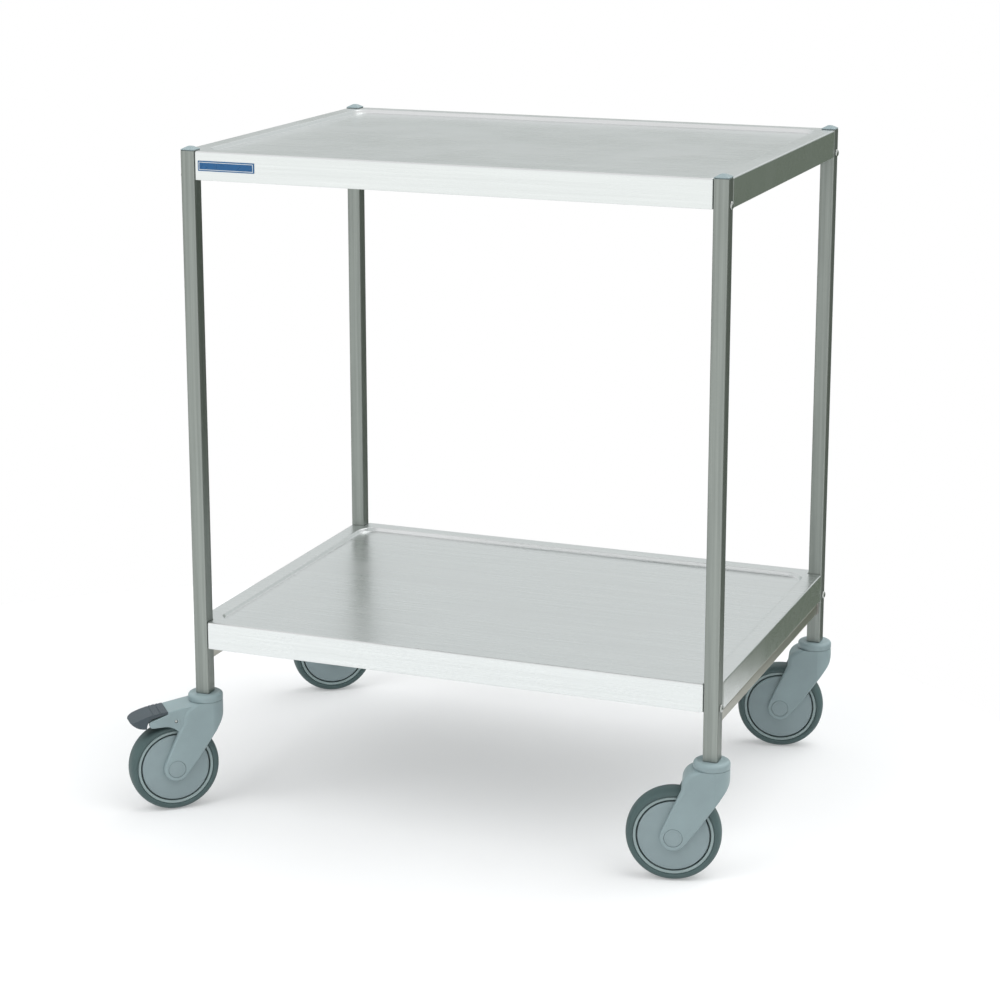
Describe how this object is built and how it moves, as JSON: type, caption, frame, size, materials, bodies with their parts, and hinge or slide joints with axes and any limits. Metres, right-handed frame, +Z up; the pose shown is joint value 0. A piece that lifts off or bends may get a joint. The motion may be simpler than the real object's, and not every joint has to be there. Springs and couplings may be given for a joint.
{
  "type": "instrument trolley",
  "caption": "Stainless instrument trolley: shallow pressed shelves between square corner legs, on swivel casters with foot brakes at one end.",
  "frame": {"origin": "on the floor, under the middle of the outer box with the casters at rest", "axes": "+Z up, +X to the right along the long side, the front faces -Y"},
  "size_m": [0.8518, 0.6312, 0.9205],
  "materials": {
    "brushed_steel": "satin stainless sheet and tube, fine grain along the length",
    "bright_steel": "bright zinc or stainless fasteners, turned and stamped",
    "grey_plastic": "moulded blue-grey nylon, fine matt grain",
    "tyre": "soft grey-green non-marking rubber, matt, smooth crowned tread",
    "pad_plastic": "dark slate moulded plastic, matt",
    "label_blue": "plain blue enamel plate with no lettering"
  },
  "bodies": {
    "frame": {"top_shelf": "brushed_steel", "lower_shelf": "brushed_steel", "crossbar_left": "brushed_steel", "crossbar_right": "brushed_steel", "label_plate": "label_blue", "leg_front_left": "brushed_steel", "leg_cap_front_left": "grey_plastic", "stem_front_left": "bright_steel", "collar_front_left": "grey_plastic", "screw_top_front_left": "bright_steel", "screw_lower_front_left": "bright_steel", "leg_front_right": "brushed_steel", "leg_cap_front_right": "grey_plastic", "stem_front_right": "bright_steel", "collar_front_right": "grey_plastic", "screw_top_front_right": "bright_steel", "screw_lower_front_right": "bright_steel", "leg_rear_left": "brushed_steel", "leg_cap_rear_left": "grey_plastic", "stem_rear_left": "bright_steel", "collar_rear_left": "grey_plastic", "screw_top_rear_left": "bright_steel", "screw_lower_rear_left": "bright_steel", "leg_rear_right": "brushed_steel", "leg_cap_rear_right": "grey_plastic", "stem_rear_right": "bright_steel", "collar_rear_right": "grey_plastic", "screw_top_rear_right": "bright_steel", "screw_lower_rear_right": "bright_steel"},
    "fork_front_left": {"fork_front_left": "grey_plastic", "axle_front_left": "grey_plastic", "guard_outer_front_left": "grey_plastic", "guard_inner_front_left": "grey_plastic", "brake_pin_front_left": "bright_steel"},
    "wheel_front_left": {"rim_front_left": "grey_plastic", "tyre_front_left": "tyre"},
    "brake_front_left": {"brake_lever_front_left": "bright_steel", "brake_pad_front_left": "pad_plastic"},
    "fork_front_right": {"fork_front_right": "grey_plastic", "axle_front_right": "grey_plastic", "guard_outer_front_right": "grey_plastic", "guard_inner_front_right": "grey_plastic"},
    "wheel_front_right": {"rim_front_right": "grey_plastic", "tyre_front_right": "tyre"},
    "fork_rear_left": {"fork_rear_left": "grey_plastic", "axle_rear_left": "grey_plastic", "guard_outer_rear_left": "grey_plastic", "guard_inner_rear_left": "grey_plastic", "brake_pin_rear_left": "bright_steel"},
    "wheel_rear_left": {"rim_rear_left": "grey_plastic", "tyre_rear_left": "tyre"},
    "brake_rear_left": {"brake_lever_rear_left": "bright_steel", "brake_pad_rear_left": "pad_plastic"},
    "fork_rear_right": {"fork_rear_right": "grey_plastic", "axle_rear_right": "grey_plastic", "guard_outer_rear_right": "grey_plastic", "guard_inner_rear_right": "grey_plastic"},
    "wheel_rear_right": {"rim_rear_right": "grey_plastic", "tyre_rear_right": "tyre"}
  },
  "joints": [
    {"name": "swivel_front_left", "type": "hinge", "parent": "frame", "child": "fork_front_left", "pos_m": [-0.32809, -0.23345, 0.14], "axis": [0, 0, 1], "continuous": true},
    {"name": "wheel_front_left_spin", "type": "hinge", "parent": "fork_front_left", "child": "wheel_front_left", "pos_m": [-0.36421, -0.26429, 0.0625], "axis": [0.6494, -0.7604, 0], "continuous": true},
    {"name": "brake_front_left_press", "type": "hinge", "parent": "fork_front_left", "child": "brake_front_left", "pos_m": [-0.36345, -0.26365, 0.1315], "axis": [0.6494, -0.7604, 0], "range_deg": [0, 4]},
    {"name": "swivel_front_right", "type": "hinge", "parent": "frame", "child": "fork_front_right", "pos_m": [0.40191, -0.23345, 0.14], "axis": [0, 0, 1], "continuous": true},
    {"name": "wheel_front_right_spin", "type": "hinge", "parent": "fork_front_right", "child": "wheel_front_right", "pos_m": [0.35603, -0.24574, 0.0625], "axis": [0.2588, -0.9659, 0], "continuous": true},
    {"name": "swivel_rear_left", "type": "hinge", "parent": "frame", "child": "fork_rear_left", "pos_m": [-0.32809, 0.29156, 0.14], "axis": [0, 0, 1], "continuous": true},
    {"name": "wheel_rear_left_spin", "type": "hinge", "parent": "fork_rear_left", "child": "wheel_rear_left", "pos_m": [-0.36756, 0.26513, 0.0625], "axis": [0.5563, -0.831, 0], "continuous": true},
    {"name": "brake_rear_left_press", "type": "hinge", "parent": "fork_rear_left", "child": "brake_rear_left", "pos_m": [-0.36673, 0.26569, 0.1315], "axis": [0.5563, -0.831, 0], "range_deg": [0, 4]},
    {"name": "swivel_rear_right", "type": "hinge", "parent": "frame", "child": "fork_rear_right", "pos_m": [0.40191, 0.29156, 0.14], "axis": [0, 0, 1], "continuous": true},
    {"name": "wheel_rear_right_spin", "type": "hinge", "parent": "fork_rear_right", "child": "wheel_rear_right", "pos_m": [0.35552, 0.28136, 0.0625], "axis": [0.2147, -0.9767, 0], "continuous": true}
  ]
}
